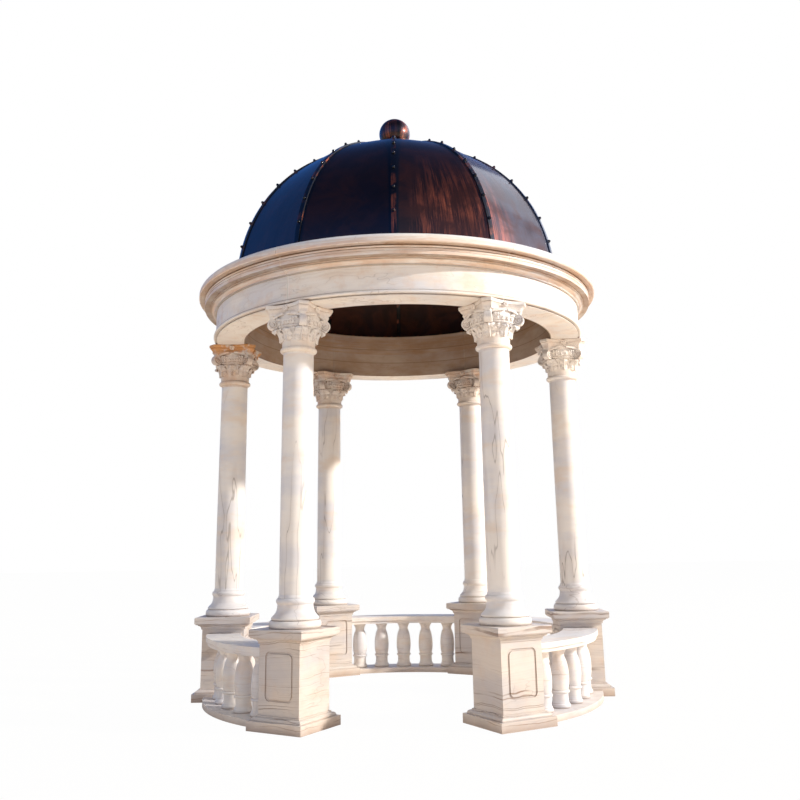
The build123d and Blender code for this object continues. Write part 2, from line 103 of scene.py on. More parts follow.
class Finish:
    # the node tree of one material or of the world
    def __init__(self, name, owner=None):
        self.owner = owner or bpy.data.materials.new(name)
        self.owner.use_nodes = True
        self.tree = self.owner.node_tree
        self.tree.nodes.clear()

    def node(self, kind, settings=None, sockets=None, out=0):
        made = self.tree.nodes.new("ShaderNode" + kind)
        for key, value in (settings or {}).items():
            setattr(made, key, value)
        for key, term in (sockets or {}).items():
            plug(self.tree, made.inputs[key], term)
        return Link(self.tree, made.outputs[out]) if len(made.outputs) else None

    def maths(self, operation, *terms):
        return self.node("Math", {"operation": operation}, dict(enumerate(terms)))

    def place(self):
        return self.node("TexCoord", out="Object")

    def stretched(self, vector, scale, shift=(0, 0, 0)):
        return self.node("Mapping", {}, {"Vector": vector, "Scale": scale, "Location": shift})

    def noise(self, vector, scale, detail=3.0, rough=0.5, twist=0.0):
        return self.node("TexNoise", {}, {"Vector": vector, "Scale": scale, "Detail": detail,
                                          "Roughness": rough, "Distortion": twist})

    def split(self, vector):
        made = self.tree.nodes.new("ShaderNodeSeparateXYZ")
        plug(self.tree, made.inputs[0], vector)
        return [Link(self.tree, one) for one in made.outputs]

    def joined(self, x, y, z):
        return self.node("CombineXYZ", {}, {"X": x, "Y": y, "Z": z})

    def between(self, value, low, high, smooth=True):
        # 0 below low, 1 above high
        kind = "SMOOTHSTEP" if smooth else "LINEAR"
        return self.node("MapRange", {"interpolation_type": kind},
                         {"Value": value, "From Min": low, "From Max": high})

    def blend(self, share, first, second, mode="MIX"):
        # sockets 6 and 7 are the node's colours, and output 2 is the mixed one
        made = self.tree.nodes.new("ShaderNodeMix")
        made.data_type = "RGBA"
        made.blend_type = mode
        plug(self.tree, made.inputs[0], share)
        plug(self.tree, made.inputs[6], first)
        plug(self.tree, made.inputs[7], second)
        return Link(self.tree, made.outputs[2])

    def line(self, value, middle, width):
        # 1 on the level where value passes middle, 0 a width away
        return 1 - self.between(abs(value - middle), 0.0, width)

    def bump(self, height, strength, distance, under=None):
        sockets = {"Height": height, "Strength": strength, "Distance": distance}
        if under is not None:
            sockets["Normal"] = under
        return self.node("Bump", {}, sockets)

    def surface(self, sockets):
        shader = self.node("BsdfPrincipled", {}, sockets)
        self.node("OutputMaterial", {}, {"Surface": shader})
        return self.owner


# Marble
def tone(red, green, blue):
    # an everyday 0-255 colour as the shader's linear values
    def straight(part):
        part /= 255
        return part / 12.92 if part <= 0.04045 else ((part + 0.055) / 1.055) ** 2.4
    return (straight(red), straight(green), straight(blue), 1.0)


marbleTones = {
    "body": tone(246, 241, 235),
    "cool": tone(228, 227, 230),
    "warm": tone(238, 219, 199),
    "bed": tone(150, 124, 106),
    "vein": tone(112, 96, 88),
    "ochre": tone(206, 142, 70),
    "grimeAndShade": tone(104, 78, 54),
    "joint": tone(252, 250, 246),
    "dust": tone(142, 112, 88),
    "sootAndShade": tone(148, 112, 80),
    "shade": tone(208, 198, 190),
}

# how strongly each kind of stone is bedded, veined, stained and darkened, with grime that adds painted shade
# in its hollows; hollow is how far its dirt and painted shade reach out of a corner, in metres
capitalLook = {"beds": 0.0, "weak": 0.0, "bedScale": 8.0, "veins": 0.10, "upright": True,
               "ochre": 0.24, "grimeAndShade": 0.75, "shade": 0.0, "hollow": 0.014, "lichen": 0.08}
agedLook = {**capitalLook, "ochre": 0.60, "grimeAndShade": 1.0, "shade": 0.45, "hollow": 0.020, "lichen": 0.28}
marbleLooks = {
    "pedestal": {"beds": 0.85, "weak": 0.10, "bedScale": 7.5, "veins": 0.20, "upright": False,
                 "ochre": 0.16, "grimeAndShade": 0.45, "shade": 0.60, "hollow": 0.045},
    "base": {"beds": 0.25, "weak": 0.10, "bedScale": 9.0, "veins": 0.30, "upright": False,
             "ochre": 0.10, "grimeAndShade": 0.35, "shade": 0.05, "hollow": 0.05},
    "shaft": {"beds": 0.0, "weak": 0.0, "bedScale": 6.0, "veins": 0.50, "upright": True,
              "ochre": 0.06, "grimeAndShade": 0.15, "shade": 0.0, "hollow": 0.05},
    "capital": capitalLook,
    "agedCapital": agedLook,
    "rustCapital": {**agedLook, "lichen": 0.85},
    "ring": {"beds": 0.38, "weak": 0.16, "bedScale": 22.0, "veins": 0.22, "upright": False,
             "ochre": 0.30, "grimeAndShade": 0.75, "shade": 0.0, "hollow": 0.035},
    "rail": {"beds": 0.30, "weak": 0.12, "bedScale": 16.0, "veins": 0.20, "upright": False,
             "ochre": 0.16, "grimeAndShade": 0.40, "shade": 0.05, "hollow": 0.04},
}

# where the ring is stained and where shade is painted on it, in metres; a pair is where a mask starts and
# where it is full
ringStainsAndShade = {
    "unrolled": 1.85,  # the radius at which the grain runs true
    # each groove level below gets dirt and a painted shadow line
    "grooves": [3.436, 3.469, 3.692, 3.730, 3.744, 3.803, 3.829],  # narrow grooves in the mouldings
    "grooveDirtAndShade": 0.0060,
    "outerFace": (1.80, 1.84),
    "innerFace": (1.582, 1.592),
    "mortar": (0.007, 0.011),
    "ochreFoot": (3.690, 3.700),
    "ochreTop": (3.86, 3.90),
    "courseFoot": 3.425,
    "courseHeight": 0.082,
    "courseJoint": (0.002, 0.006),
}
# heights above the foot of a capital, and how wide a chisel line is in its noise
carvingWear = {"leafFeet": (0.105, 0.125), "abacus": (0.36, 0.39), "lichen": (0.345, 0.395),
               "chiselLine": 0.030}
groundDust = {"height": (0.03, 0.12), "sway": 0.06, "share": 0.45}


def stoneBeds(f, look, grainPlace, angle, z):
    # thin, nearly level lines, a different set in each block
    block = f.maths("ROUND", angle * (plan["bays"] / (2 * math.pi)))
    sway = f.noise(grainPlace, 2.2, 2.0) * 0.10 + f.noise(grainPlace, 11.0, 3.0) * 0.014
    level = (z + sway) * look["bedScale"] + block * 3.7
    beds = f.node("TexNoise", {"noise_dimensions": "1D"},
                  {"W": level, "Scale": 1.0, "Detail": 2.0, "Roughness": 0.6})
    fineBeds = f.node("TexNoise", {"noise_dimensions": "1D"},
                      {"W": level * 5.0, "Scale": 1.0, "Detail": 3.0, "Roughness": 0.7})
    gaps = f.noise(f.stretched(grainPlace, (1.5, 1.5, 9.0), (1.0, 0.0, 3.0)), 2.0, 2.0)
    strongBed = f.line(beds, 0.47, 0.013) * f.between(gaps, 0.38, 0.60)
    weakBed = f.line(fineBeds, 0.52, 0.05) * look["weak"]
    return (strongBed + weakBed) * look["beds"]


def stainRing(f, colour, grainPlace, angle, radius, z):
    # pale mortar where two stones meet
    share = f.maths("PINGPONG", angle, math.pi / plan["bays"])
    jointMask = (1 - f.between(share * radius, *ringStainsAndShade["mortar"])) * 0.7
    colour = f.blend(jointMask, colour, marbleTones["joint"])
    # ochre streaks under the cornice, and dirt with painted shadow lines in the grooves
    underCornice = f.between(z, *ringStainsAndShade["ochreFoot"]) * (1 - f.between(z, *ringStainsAndShade["ochreTop"]))
    streaks = f.noise(f.stretched(grainPlace, (1.2, 1.0, 14.0)), 2.6, 5.0, 0.65)
    colour = f.blend(underCornice * f.between(streaks, 0.30, 0.62) * 0.42, colour, marbleTones["ochre"])
    for level in ringStainsAndShade["grooves"]:
        dirtAndShadow = f.line(z, level, ringStainsAndShade["grooveDirtAndShade"]) * f.between(radius, *ringStainsAndShade["outerFace"])
        colour = f.blend(dirtAndShadow * (0.20 + streaks * 0.70), colour, marbleTones["grimeAndShade"])
    # a darker inner face, soot with painted shade, laid in low courses
    inside = 1 - f.between(radius, *ringStainsAndShade["innerFace"])
    sootAndShade = f.between(f.noise(f.stretched(grainPlace, (1.0, 1.0, 3.0)), 1.6, 5.0, 0.6), 0.25, 0.75)
    colour = f.blend(inside * (0.62 + sootAndShade * 0.25), colour, marbleTones["sootAndShade"])
    courses = f.maths("PINGPONG", z - ringStainsAndShade["courseFoot"], ringStainsAndShade["courseHeight"])
    courseMask = inside * (1 - f.between(courses, *ringStainsAndShade["courseJoint"])) * 0.5
    return f.blend(courseMask, colour, marbleTones["grimeAndShade"])


def marble(name, look):
    f = Finish("marble_" + name)
    place = f.place()
    x, y, z = f.split(place)
    angle = f.maths("ARCTAN2", y, x)
    radius = (x * x + y * y) ** 0.5
    if name == "ring":
        grainPlace = f.joined(angle * ringStainsAndShade["unrolled"], radius, z)
    else:
        grainPlace = place
    # soft drifts of cool and warm stone
    drift = f.noise(f.stretched(grainPlace, (0.9, 0.9, 2.2)), 1.3, 4.0, 0.55)
    colour = f.blend(f.between(drift, 0.42, 0.62), marbleTones["body"], marbleTones["cool"])
    warmDrift = f.noise(f.stretched(grainPlace, (1.2, 1.2, 3.0), (4.1, 2.2, 7.7)), 1.7, 4.0, 0.6)
    colour = f.blend(f.between(warmDrift, 0.50, 0.72) * 0.55, colour, marbleTones["warm"])
    bedMask = stoneBeds(f, look, grainPlace, angle, z)
    colour = f.blend(bedMask, colour, marbleTones["bed"])
    # veins and hair cracks
    veinStretch = (3.4, 3.4, 0.40) if look["upright"] else (1.3, 1.3, 3.2)
    veinField = f.noise(f.stretched(grainPlace, veinStretch, (2.0, 5.0, 1.0)), 1.3, 3.0, 0.5, 0.15)
    veinBreak = f.between(f.noise(f.stretched(place, (1, 1, 0.5), (9.0, 3.0, 0.4)), 1.6, 2.0), 0.36, 0.56)
    veinMask = f.line(veinField, 0.5, 0.006) * veinBreak * look["veins"]
    softVein = f.line(veinField, 0.5, 0.075) * veinBreak * look["veins"] * 0.22
    colour = f.blend(softVein, colour, marbleTones["bed"])
    colour = f.blend(veinMask, colour, marbleTones["vein"])
    # ochre wash, ochre that gathers in the hollows, and grime with painted shade that darkens the hollows
    hollow = f.node("AmbientOcclusion", {"samples": 8, "inside": False},
                    {"Distance": look["hollow"]}, out="AO")
    closeness = 1 - f.between(hollow, 0.20, 0.80)
    wash = f.noise(place, 5.0, 5.0, 0.65)
    colour = f.blend(look["shade"], colour, marbleTones["shade"], "MULTIPLY")
    colour = f.blend(f.between(wash, 0.48, 0.70) * look["ochre"] * 0.6, colour, marbleTones["ochre"])
    colour = f.blend(closeness * look["ochre"] * 0.9, colour, marbleTones["ochre"])
    colour = f.blend(closeness ** 2.0 * look["grimeAndShade"] * (wash + 0.35), colour, marbleTones["grimeAndShade"])
    dents = f.noise(place, 26.0, 4.0, 0.6)
    normal = f.bump(dents, 0.20, 0.004)
    if name == "ring":
        colour = stainRing(f, colour, grainPlace, angle, radius, z)
    if "lichen" in look:
        # chisel lines over the leaves and scrolls, from the leaf feet up to the abacus
        worked = f.between(z, *carvingWear["leafFeet"]) * (1 - f.between(z, *carvingWear["abacus"]) * 0.7)
        chisel = f.noise(f.stretched(place, (1.0, 1.0, 0.6)), 62.0, 1.5, 0.5, 1.2)
        cut = f.line(chisel, 0.5, carvingWear["chiselLine"]) * worked
        colour = f.blend(cut * 0.30, colour, marbleTones["bed"])
        normal = f.bump(chisel * worked, 0.40, 0.008, normal)
        # rust coloured lichen along the abacus
        high = f.between(z + f.noise(place, 14.0, 3.0) * 0.06, *carvingWear["lichen"])
        patch = f.between(f.noise(place, 11.0, 4.0, 0.6), 0.34, 0.52)
        colour = f.blend((high * 0.85 + 0.15) * patch * look["lichen"], colour, marbleTones["ochre"])
    if name in ("pedestal", "rail"):
        # damp dust at ground level
        swayed = z + f.noise(place, 6.0, 3.0) * groundDust["sway"]
        foot = 1 - f.between(swayed, *groundDust["height"])
        colour = f.blend(foot * groundDust["share"], colour, marbleTones["dust"])
    grain = f.noise(place, 240.0, 3.0, 0.6)
    normal = f.bump(grain, 0.12, 0.0012, normal)
    normal = f.bump(1 - bedMask - veinMask, 0.25, 0.002, normal)
    roughness = 0.42 + grain * 0.16 + closeness * 0.2
    return f.surface({"Base Color": colour, "Roughness": roughness, "Normal": normal,
                      "Specular IOR Level": 0.4})


marbles = {name: marble(name, look) for name, look in marbleLooks.items()}
print("marble finishes ready")

# Copper
copperTones = {
    "dark": tone(13, 11, 15),
    "blue": tone(13, 18, 32),
    "brown": tone(70, 33, 28),
    "bright": tone(196, 104, 70),
    "bloomAndSheen": tone(108, 114, 138),
    "under": tone(66, 32, 22),
}
dome = {
    "centre": 3.841,  # height of the middle of its curve
    "innerSkin": (1.744, 1.750),  # distances from there between the underside and the top of a sheet
    "highlightAndWearSide": 293.0,  # bearings of the side with bare copper and a painted highlight, and of the side with dust and a painted sheen
    "dustAndSheenSide": 330.0,
}
# small parts are rubbed evenly; the sheets are worn by the weather instead, with a painted highlight on one
# side
copperLooks = {
    "sheet": {"roughness": 0.36, "bloomAndSheen": 0.50},
    "seam": {"rubbed": 0.22, "roughness": 0.40, "bloomAndSheen": 0.30},
    "ball": {"rubbed": 0.42, "roughness": 0.30, "bloomAndSheen": 0.10},
    "stud": {"rubbed": 0.15, "roughness": 0.34, "bloomAndSheen": 0.15},
}


def copper(name, look):
    f = Finish("copper_" + name)
    place = f.place()
    x, y, z = f.split(place)
    angle = f.maths("ARCTAN2", y, x)
    flat = (x * x + y * y) ** 0.5
    drop = z - dome["centre"]
    rise = f.maths("ARCTAN2", drop, flat)
    gore = f.maths("FLOOR", angle * (plan["gores"] / (2 * math.pi)))
    sheet = f.joined(angle, rise, gore * 1.7)
    # runs of weather down each gore, finer ones between them, and broad clouds
    runs = f.noise(f.stretched(sheet, (30.0, 2.4, 1.0)), 1.0, 5.0, 0.66, 0.35)
    fineRuns = f.noise(f.stretched(sheet, (170.0, 5.0, 1.0)), 1.0, 4.0, 0.70)
    clouds = f.noise(f.stretched(sheet, (3.4, 3.4, 1.0)), 1.0, 5.0, 0.6, 0.6)
    if "rubbed" in look:
        wearAndHighlight = look["rubbed"] + 0.35 * f.between(f.noise(place, 9.0, 4.0), 0.40, 0.62)
    else:
        # bare streaks with a painted sun highlight on the side towards the sun lamp, most of all low down
        facing = f.maths("COSINE", angle - math.radians(dome["highlightAndWearSide"]))
        lowness = 1 - f.between(rise, 0.10, 0.95, smooth=False)
        wearAndHighlight = f.between(facing, 0.90, 1.0) * (lowness * 0.85 + 0.15)
    brownMask = f.between(runs * 0.35 + clouds * 0.45 + wearAndHighlight * 0.55, 0.62, 0.98)
    streaks = f.between(runs, 0.44, 0.60) * 0.6 + f.between(fineRuns, 0.50, 0.62) * 0.6
    bareAndHighlightMask = streaks * f.between(wearAndHighlight + clouds * 0.5, 0.54, 1.05)
    colour = f.blend(f.between(clouds, 0.35, 0.65), copperTones["dark"], copperTones["blue"])
    colour = f.blend(brownMask * 0.85, colour, copperTones["brown"])
    colour = f.blend(bareAndHighlightMask * 0.85, colour, copperTones["bright"])
    # dust with a pale blue painted sheen on the side towards the sun lamp; this mask also dulls the metal
    dustAndSheenFacing = f.between(f.maths("COSINE", angle - math.radians(dome["dustAndSheenSide"])), 0.80, 0.98)
    dust = f.between(fineRuns * 0.35 + clouds * 0.65, 0.30, 0.66) * dustAndSheenFacing
    colour = f.blend(dust * look["bloomAndSheen"], colour, copperTones["bloomAndSheen"])
    if name == "sheet":
        # the underside, seen from within, is plain brown and mottled
        reach = (flat * flat + drop * drop) ** 0.5
        under = 1 - f.between(reach, *dome["innerSkin"])
        mottle = f.between(f.noise(place, 3.2, 5.0, 0.6, 0.8), 0.40, 0.68)
        colour = f.blend(under * (0.35 + mottle * 0.6), colour, copperTones["under"])
    rough = look["roughness"] + dust * 0.25 + fineRuns * 0.16
    buckle = f.noise(f.stretched(sheet, (5.0, 3.0, 1.0)), 1.0, 2.0)
    normal = f.bump(buckle, 0.30, 0.02)
    normal = f.bump(fineRuns, 0.15, 0.002, normal)
    metal = 0.80 - dust * 0.4
    return f.surface({"Base Color": colour, "Roughness": rough, "Metallic": metal, "Normal": normal,
                      "Coat Weight": 0.65, "Coat Roughness": 0.13})


coppers = {name: copper(name, look) for name, look in copperLooks.items()}
print("copper finishes ready")


def dress(node, finish):
    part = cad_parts[node]
    if not part.material_slots:
        part.data.materials.append(finish)
    for slot in part.material_slots:
        slot.link = "OBJECT"
        slot.material = finish


for name in plan["columnAngles"]:
    dress("pedestal_" + name, marbles["pedestal"])
    dress("column_shaft_" + name, marbles["shaft"])
    dress("capital_" + name, marbles["capital"])
dress("column_bases", marbles["base"])
for name in stoneNames:
    dress("frieze_" + name, marbles["ring"])
    dress("cornice_" + name, marbles["ring"])
for name in bayNames:
    dress("hand_rail_" + name, marbles["rail"])
    dress("balusters_" + name, marbles["rail"])
dress("base_rails", marbles["rail"])
dress("dome_panels", coppers["sheet"])
for name in ("dome_seams", "dome_foot_ring", "dome_crown"):
    dress(name, coppers["seam"])
dress("ball_finial", coppers["ball"])
print("frame dressed")


# Shells: every carved or turned form is a grid of points, joined into one mesh per piece
class Shells:
    def __init__(self):
        self.points = []
        self.faces = []
        self.count = 0

    def grid(self, rows, loopColumns=False):
        rows = np.asarray(rows, float)
        high, wide = rows.shape[:2]
        self.points.append(rows.reshape(-1, 3))
        for i in range(high - 1):
            foot = self.count + i * wide
            for j in range(wide if loopColumns else wide - 1):
                k = (j + 1) % wide
                self.faces.append([foot + j, foot + k, foot + wide + k, foot + wide + j])
        self.count += high * wide
        return self.count - high * wide

    def capped(self, rows):
        # a tube of rings closed at both ends
        start = self.grid(rows, loopColumns=True)
        high, wide = np.asarray(rows).shape[:2]
        self.faces.append([start + j for j in range(wide)][::-1])
        self.faces.append([start + (high - 1) * wide + j for j in range(wide)])

    def turned(self, profile, steps=96):
        # a profile of radius and height, spun around the axis
        angles = np.linspace(0, 2 * math.pi, steps, endpoint=False)
        self.capped([[(r * math.cos(a), r * math.sin(a), z) for a in angles] for r, z in profile])

    def leaf(self, sheet, thickness):
        # a sheet given a back and a rim
        sheet = np.asarray(sheet, float)
        across = np.gradient(sheet, axis=1)
        along = np.gradient(sheet, axis=0)
        normal = np.cross(across, along)
        normal /= np.linalg.norm(normal, axis=2, keepdims=True) + 1e-12
        back = sheet - normal * thickness
        high, wide = sheet.shape[:2]
        front = self.grid(sheet)
        rear = self.grid(back[:, ::-1])

        def rearIndex(i, j):
            return rear + i * wide + (wide - 1 - j)

        edge = [(0, j) for j in range(wide)] + [(i, wide - 1) for i in range(1, high)]
        edge += [(high - 1, j) for j in range(wide - 2, -1, -1)] + [(i, 0) for i in range(high - 2, 0, -1)]
        for (i, j), (k, m) in zip(edge, edge[1:] + edge[:1]):
            self.faces.append([front + k * wide + m, front + i * wide + j, rearIndex(i, j), rearIndex(k, m)])

    def ball(self, centre, size, steps=10, lean=None):
        # an ellipsoid; lean turns it about the column's axis
        deep, wide, high = size
        around = np.linspace(0, 2 * math.pi, steps + 4, endpoint=False)
        rows = []
        for tilt in [math.pi * i / steps for i in range(1, steps)]:
            rows.append([(deep * math.sin(tilt) * math.cos(a), wide * math.sin(tilt) * math.sin(a),
                          high * math.cos(tilt)) for a in around])
        rows = np.array(rows)
        if lean is not None:
            rows = rows @ np.array(Matrix.Rotation(lean, 3, "Z")).T
        self.capped(rows + np.array(centre))

    def turnedCopy(self, other, degrees):
        spin = np.array(Matrix.Rotation(math.radians(degrees), 3, "Z"))
        for block in other.points:
            self.points.append(block @ spin.T)
        self.faces.extend([[self.count + k for k in face] for face in other.faces])
        self.count += other.count

    def mesh(self, name, finish, crease=38):
        made = bpy.data.meshes.new(name)
        made.from_pydata(np.concatenate(self.points).tolist(), [], self.faces)
        shell = bmesh.new()
        shell.from_mesh(made)
        bmesh.ops.recalc_face_normals(shell, faces=shell.faces)
        shell.to_mesh(made)
        shell.free()
        made.shade_smooth()
        made.set_sharp_from_angle(angle=math.radians(crease))
        made.materials.append(finish)
        return made


def placed(name, data, spot=(0, 0, 0), turn=0.0):
    # data is a mesh, a lamp or a camera; turn is in degrees about Z
    made = bpy.data.objects.new(name, data)
    bpy.context.scene.collection.objects.link(made)
    made.matrix_world = Matrix.Translation(spot) @ Matrix.Rotation(math.radians(turn), 4, "Z")
    return made


# Carved capitals: local Z runs up from the top of the shaft, local X points away from the pavilion's centre
capitalFoot = 3.000
bell = {
    "foot": 0.143,  # radius behind the leaves
    "core": 0.120,  # hidden radius at both ends
    "neckRing": (0.1410, 0.0430, 0.0185, 0.0200),  # radius, height, half depth and half height
    "bead": (0.1870, 0.2390, 0.0060, 0.0058),
}


def halfRound(radius, level, depth, high, steps):
    bends = [math.pi * (k / steps - 0.5) for k in range(steps + 1)]
    return [(radius + depth * math.cos(bend), level + high * math.sin(bend)) for bend in bends]


def bellProfile():
    # shaft end and necking ring
    profile = [(bell["core"], 0.0), (0.1312, 0.0), (0.1312, 0.0215), (0.1400, 0.0220)]
    profile += halfRound(*bell["neckRing"], 12)
    # the bell, which widens to a fillet and a bead
    profile += [(0.1420, 0.0640), (0.1425, 0.075), (0.1435, 0.100), (0.1455, 0.135), (0.1500, 0.170),
                (0.1580, 0.200), (0.1720, 0.222), (0.1850, 0.230), (0.1850, 0.2325)]
    profile += halfRound(*bell["bead"], 6)
    # the hollow band that holds the eggs
    profile += [(0.1830, 0.2455), (0.1835, 0.2480), (0.1880, 0.2560), (0.1930, 0.2700), (0.1970, 0.2860),
                (0.1985, 0.2960), (0.1950, 0.2975), (0.1950, 0.3040), (0.1880, 0.3060), (0.1880, 0.3440),
                (bell["core"], 0.3440)]
    return profile


abacus = {"half": 0.238, "cornerCut": 0.060, "hollow": 0.042, "steps": 20}


def abacusOutline():
    # a square with hollowed sides and cut corners
    half, hollow = abacus["half"], abacus["hollow"]
    corner = half - abacus["cornerCut"]
    side = []
    for k in range(abacus["steps"] + 1):
        across = -corner + 2 * corner * k / abacus["steps"]
        side.append((half - hollow * (1 - (across / corner) ** 2), across))
    outline = []
    for turn in range(4):
        spin = Matrix.Rotation(math.radians(90 * turn), 2)
        outline += [tuple(spin @ Vector(point)) for point in side]
    return outline


def addAbacus(shells):
    # share of the outline and height: a low fascia, a hollow, two fillets and the rounded slab
    layers = [(0.80, 0.3380), (0.868, 0.3380), (0.880, 0.3400), (0.880, 0.3480), (0.870, 0.3490),
              (0.874, 0.3560), (0.885, 0.3650), (0.905, 0.3740), (0.928, 0.3800), (0.940, 0.3820),
              (0.940, 0.3860), (0.962, 0.3865), (0.962, 0.3905), (0.945, 0.3915), (0.945, 0.3945),
              (0.985, 0.3960), (0.995, 0.4000), (1.0, 0.4050), (1.0, 0.4180), (0.994, 0.4245),
              (0.985, 0.4250)]
    shells.capped([[(x * size, y * size, z) for x, y in abacusOutline()] for size, z in layers])


rosette = {
    "size": 0.027, "level": 0.393, "seat": 0.004,
    "petals": 6, "firstPetal": 0.3, "petalOut": 0.008, "petalDeep": 0.010,
    "petalRing": 0.56, "petalWide": 0.46, "petalHigh": 0.40,  # shares of the size
    "heart": 0.28, "heartOut": 0.016, "heartDeep": 0.010,
    "disc": 0.95, "discDeep": 0.012,
}


def addRosette(shells):
    reach = abacus["half"] - abacus["hollow"] - rosette["seat"]
    level, size = rosette["level"], rosette["size"]
    ring = size * rosette["petalRing"]
    petalSize = (rosette["petalDeep"], size * rosette["petalWide"], size * rosette["petalHigh"])
    for petal in range(rosette["petals"]):
        turn = 2 * math.pi * petal / rosette["petals"] + rosette["firstPetal"]
        centre = (reach + rosette["petalOut"], ring * math.cos(turn), level + ring * math.sin(turn))
        shells.ball(centre, petalSize, 8)
    heart, disc = size * rosette["heart"], size * rosette["disc"]
    shells.ball((reach + rosette["heartOut"], 0, level), (rosette["heartDeep"], heart, heart), 7)
    shells.ball((reach, 0, level), (rosette["discDeep"], disc, disc), 9)


scroll = {
    "reach": 0.2242, "level": 0.268, "halfWidth": 0.033,  # of the middle of the eye, and across the scroll
    "turns": 2.1, "start": 118, "steps": 84,
    "outerStart": 0.0505, "innerEnd": 0.0165,  # the middle of the band, out from the eye
    "eye": 0.0125,
    "thin": 0.0042, "thick": 0.0052,  # half the band at its end, and what it gains outwards
    "channel": 0.006,  # depth of the groove along the band's outer side
    "edge": 0.0025,  # how far its two outer rims are rounded back
    "drumHole": 0.006, "drum": 0.048, "drumShare": 0.70,
    "stemFoot": 0.286, "stemTop": 0.341, "stemBack": 0.150,
    "stemOut": 0.040, "stemHollow": 0.012, "stemLean": 0.004,  # its front, out from the eye
    "stemWaist": 0.78, "footFlare": 0.14, "topFlare": 0.20,  # shares of the half width
    "stemBevel": 0.010, "stemBevelFrom": 0.72, "stemGroove": 0.004,
}
# the band's section, as shares of its half thickness and half width
bandSection = ((1, -0.86), (0.62, -1), (-0.5, -1), (-1, -0.86), (-1, 0.86), (-0.5, 1), (0.62, 1), (1, 0.86))


def coilRing(share):
    # one section of the coiled band; share runs from its outer start to the eye
    turn = math.radians(scroll["start"]) - 2 * math.pi * scroll["turns"] * share
    fade = (1 - share) ** 1.15
    thick = scroll["thin"] + scroll["thick"] * fade
    middle = scroll["innerEnd"] + (scroll["outerStart"] - scroll["innerEnd"]) * fade
    side = scroll["halfWidth"] * (0.90 + 0.12 * share)

    def at(reach, across):
        return (scroll["reach"] + reach * math.cos(turn), across, scroll["level"] + reach * math.sin(turn))

    ring = []
    for out, across in bandSection:
        inset = scroll["edge"] if abs(across) < 0.9 and out > 0 else 0.0
        ring.append(at(middle + thick * out - inset, side * across))
    ring.insert(4, at(middle - thick, 0.0))
    ring.append(at(middle + thick - scroll["channel"], 0.0))
    return ring


def addScroll(shells):
    # the coiled band on a recessed drum, with an eye, and the stem up to the abacus corner
    centre, level, width = scroll["reach"], scroll["level"], scroll["halfWidth"]
    shells.capped([coilRing(k / scroll["steps"]) for k in range(scroll["steps"] + 1)])
    rows = []
    for across, reach in ((-1, "drumHole"), (-1, "drum"), (1, "drum"), (1, "drumHole")):
        rows.append([(centre + scroll[reach] * math.cos(a), width * scroll["drumShare"] * across,
                      level + scroll[reach] * math.sin(a))
                     for a in np.linspace(0, 2 * math.pi, 40, endpoint=False)])
    shells.capped(rows)
    shells.ball((centre, 0, level), (scroll["eye"], width * 1.04, scroll["eye"]), 10)
    # the stem has bevelled edges and a groove down its front
    rows = []
    for share in np.linspace(0, 1, 9):
        z = scroll["stemFoot"] + (scroll["stemTop"] - scroll["stemFoot"]) * share
        hollow = scroll["stemHollow"] * math.sin(math.pi * share) + scroll["stemLean"] * share
        front = centre + scroll["stemOut"] - hollow
        bevel, back = front - scroll["stemBevel"], scroll["stemBack"]
        flare = scroll["footFlare"] * (1 - share) ** 2 + scroll["topFlare"] * share ** 3
        broad = width * (scroll["stemWaist"] + flare)
        inner = broad * scroll["stemBevelFrom"]
        rows.append([(back, -broad, z), (bevel, -broad, z), (front, -inner, z),
                     (front - scroll["stemGroove"], 0, z),
                     (front, inner, z), (bevel, broad, z), (back, broad, z)])
    shells.capped(rows)


leafKinds = {
    "corner": {"foot": 0.110, "height": 0.106, "reach": 0.056, "half": 0.066, "lobes": 3.0, "relief": 0.0095,
               "rows": 44, "columns": 33},
    "face": {"foot": 0.116, "height": 0.092, "reach": 0.042, "half": 0.044, "lobes": 3.0, "relief": 0.0075,
             "rows": 36, "columns": 23},
    "stalk": {"foot": 0.126, "height": 0.098, "reach": 0.034, "half": 0.020, "lobes": 2.0, "relief": 0.0030,
              "rows": 26, "columns": 11},
}
# what every leaf shares, as parts of its length, height and reach
leafCurve = {"climb": 0.72, "rise": 0.90, "lean": 0.60, "seat": 0.004, "roll": 0.23, "curl": 235}
# and as parts of its half width and of its relief
leafForm = {"narrow": 0.60, "swell": 0.40, "broadest": 0.62, "taper": 0.55, "notch": 0.20, "droop": 0.10,
            "rib": 0.10, "channelAt": 0.20, "channelWide": 0.07, "channelDeep": 0.55,
            "fluteDeep": 0.55, "fan": 0.16, "cup": 1.5}


def leafSpine(kind):
    # it climbs the bell, leans out, and rolls over at the tip
    look = leafKinds[kind]
    rise, lean = look["height"] * leafCurve["rise"], look["reach"] * leafCurve["lean"]
    roll = look["reach"] * leafCurve["roll"]
    spine = []
    for v in np.linspace(0, 1, look["rows"]):
        if v < leafCurve["climb"]:
            climb = v / leafCurve["climb"]
            out, up = lean * climb ** 2.6, rise * climb
        else:
            curl = (v - leafCurve["climb"]) / (1 - leafCurve["climb"]) * math.radians(leafCurve["curl"])
            out, up = lean + roll * (1 - math.cos(curl)) * 0.98, rise + roll * 1.05 * math.sin(curl)
        spine.append((v, bell["foot"] + leafCurve["seat"] + out, look["foot"] + up))
    return spine


